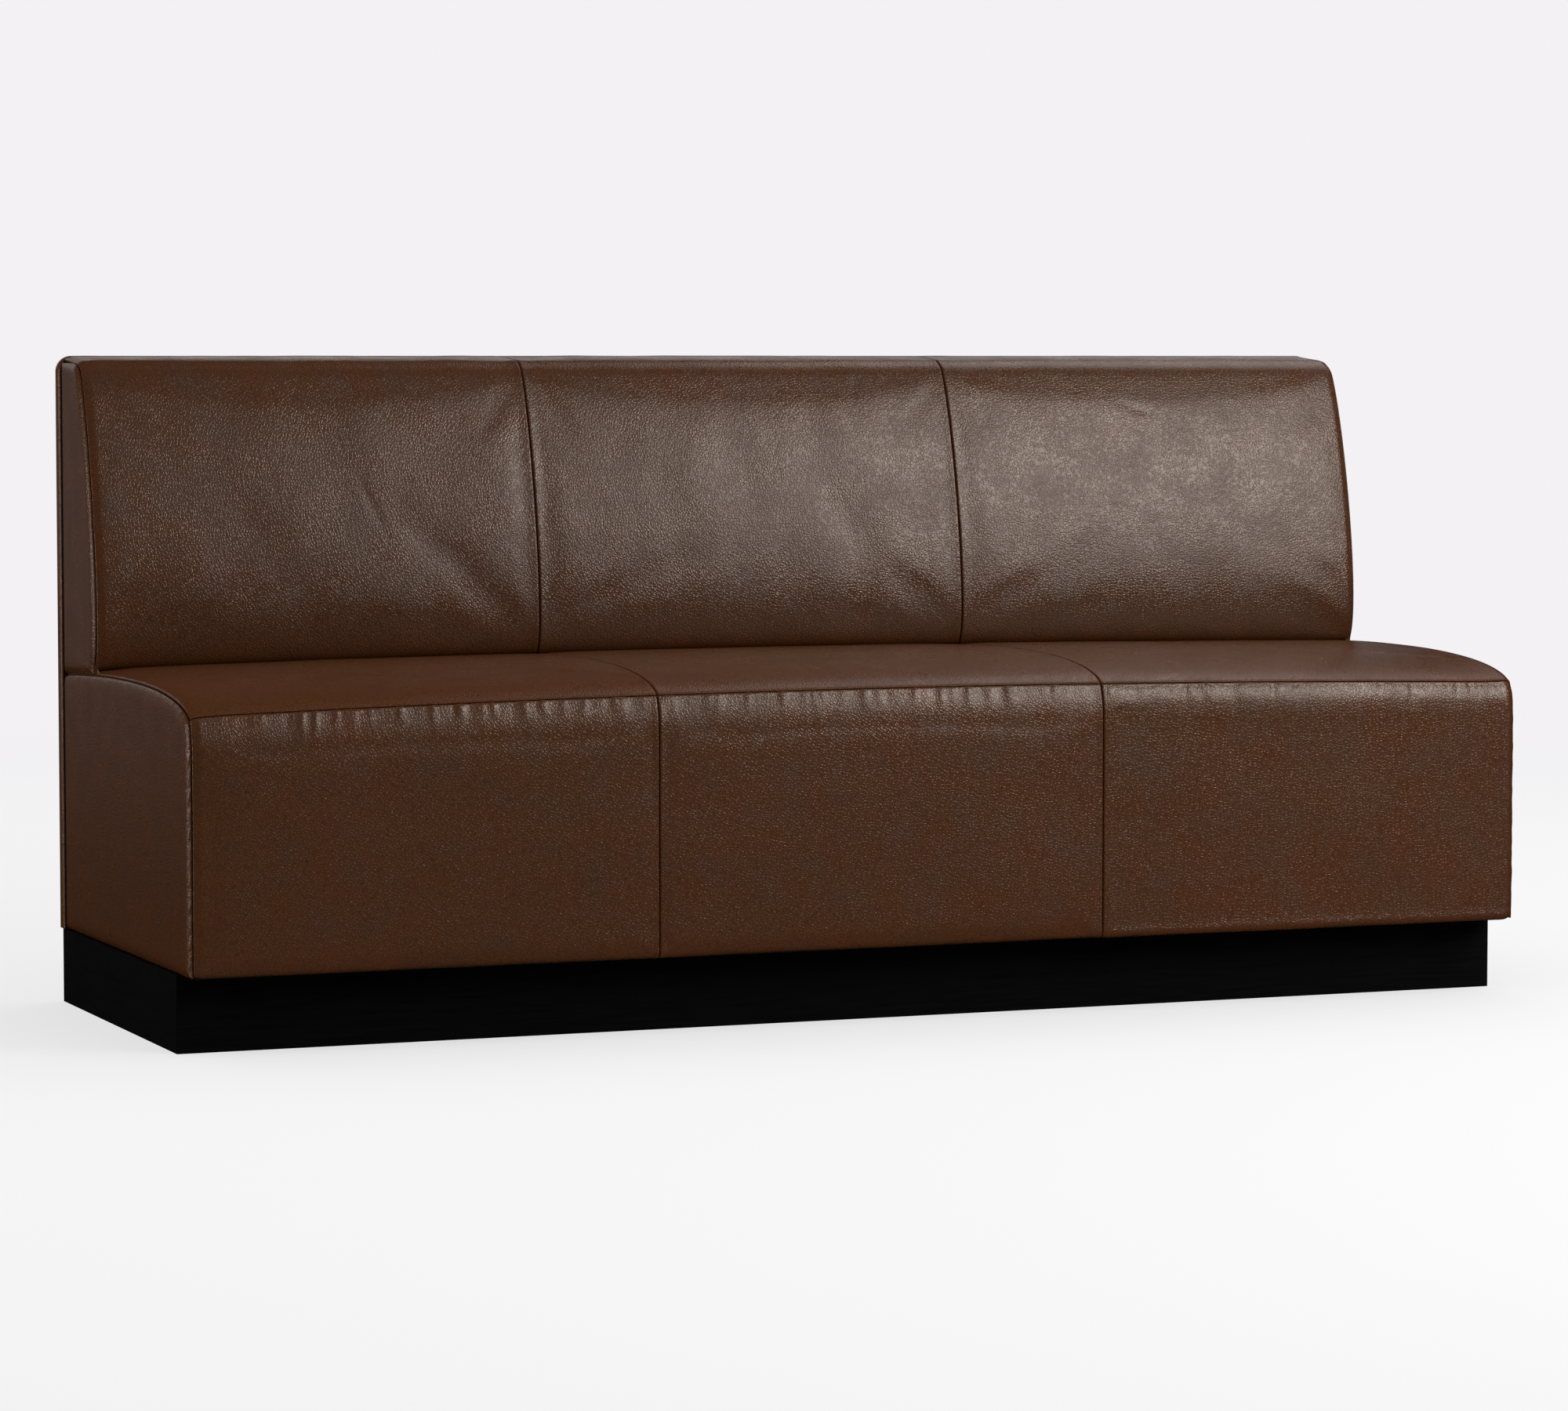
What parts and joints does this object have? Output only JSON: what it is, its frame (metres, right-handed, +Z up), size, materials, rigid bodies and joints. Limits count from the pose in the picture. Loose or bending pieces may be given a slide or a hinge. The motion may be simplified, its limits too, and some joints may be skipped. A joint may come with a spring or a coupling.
{
  "type": "leather banquette sofa",
  "caption": "Armless bench sofa in sewn brown leather panels, with a crowned seat and a curved upholstered back, standing on a recessed black plinth.",
  "frame": {"origin": "on the floor, at the middle of the footprint's length and depth", "axes": "+X along the length to the sitter's left, which is the right-hand end seen from the front; +Y from the seat front to the back; +Z up"},
  "size_m": [1.8, 0.632, 0.838],
  "materials": {
    "brown_leather": "satin, waxed pull-up hide with mottled colour",
    "black_wood": "matt black paint",
    "plywood": "raw",
    "hardwood": "planed, raw",
    "foam": "open-cell upholstery foam",
    "felt": "needled felt",
    "cambric": "black dust-cover cloth",
    "spring_steel": "drawn wire",
    "zinc_steel": "zinc plated"
  },
  "bodies": {
    "root": {"back_board": "plywood", "back_bottom_rail": "hardwood", "back_end_leather_left": "brown_leather", "back_end_leather_right": "brown_leather", "back_foam_centre": "foam", "back_foam_left": "foam", "back_foam_right": "foam", "back_front_leather_centre": "brown_leather", "back_front_leather_left": "brown_leather", "back_front_leather_right": "brown_leather", "back_middle_rail": "hardwood", "back_rib_left_end": "plywood", "back_rib_left_inner": "plywood", "back_rib_right_end": "plywood", "back_rib_right_inner": "plywood", "back_top_rail": "hardwood", "outside_back_leather_centre": "brown_leather", "outside_back_leather_left": "brown_leather", "outside_back_leather_right": "brown_leather", "plinth_cross_rail_left": "black_wood", "plinth_cross_rail_right": "black_wood", "plinth_front_board": "black_wood", "plinth_left_board": "black_wood", "plinth_rear_board": "black_wood", "plinth_right_board": "black_wood", "seat_dust_cover": "cambric", "seat_end_leather_left": "brown_leather", "seat_end_leather_right": "brown_leather", "seat_end_pad_left": "foam", "seat_end_pad_right": "foam", "seat_end_panel_left": "plywood", "seat_end_panel_right": "plywood", "seat_felt_pad": "felt", "seat_foam_centre": "foam", "seat_foam_left": "foam", "seat_foam_right": "foam", "seat_front_leather_centre": "brown_leather", "seat_front_leather_left": "brown_leather", "seat_front_leather_right": "brown_leather", "seat_front_pad": "foam", "seat_front_rail": "hardwood", "seat_partition_left": "plywood", "seat_partition_right": "plywood", "seat_rear_rail": "hardwood", "seat_spring_1": "spring_steel", "seat_spring_2": "spring_steel", "seat_spring_3": "spring_steel", "seat_spring_4": "spring_steel", "seat_spring_5": "spring_steel", "seat_spring_6": "spring_steel", "seat_spring_7": "spring_steel", "seat_spring_8": "spring_steel", "seat_spring_9": "spring_steel", "seat_to_back_bolt_1": "zinc_steel", "seat_to_back_bolt_2": "zinc_steel", "seat_to_back_bolt_3": "zinc_steel", "seat_to_back_bolt_4": "zinc_steel", "seat_top_leather_centre": "brown_leather", "seat_top_leather_left": "brown_leather", "seat_top_leather_right": "brown_leather"}
  },
  "joints": []
}
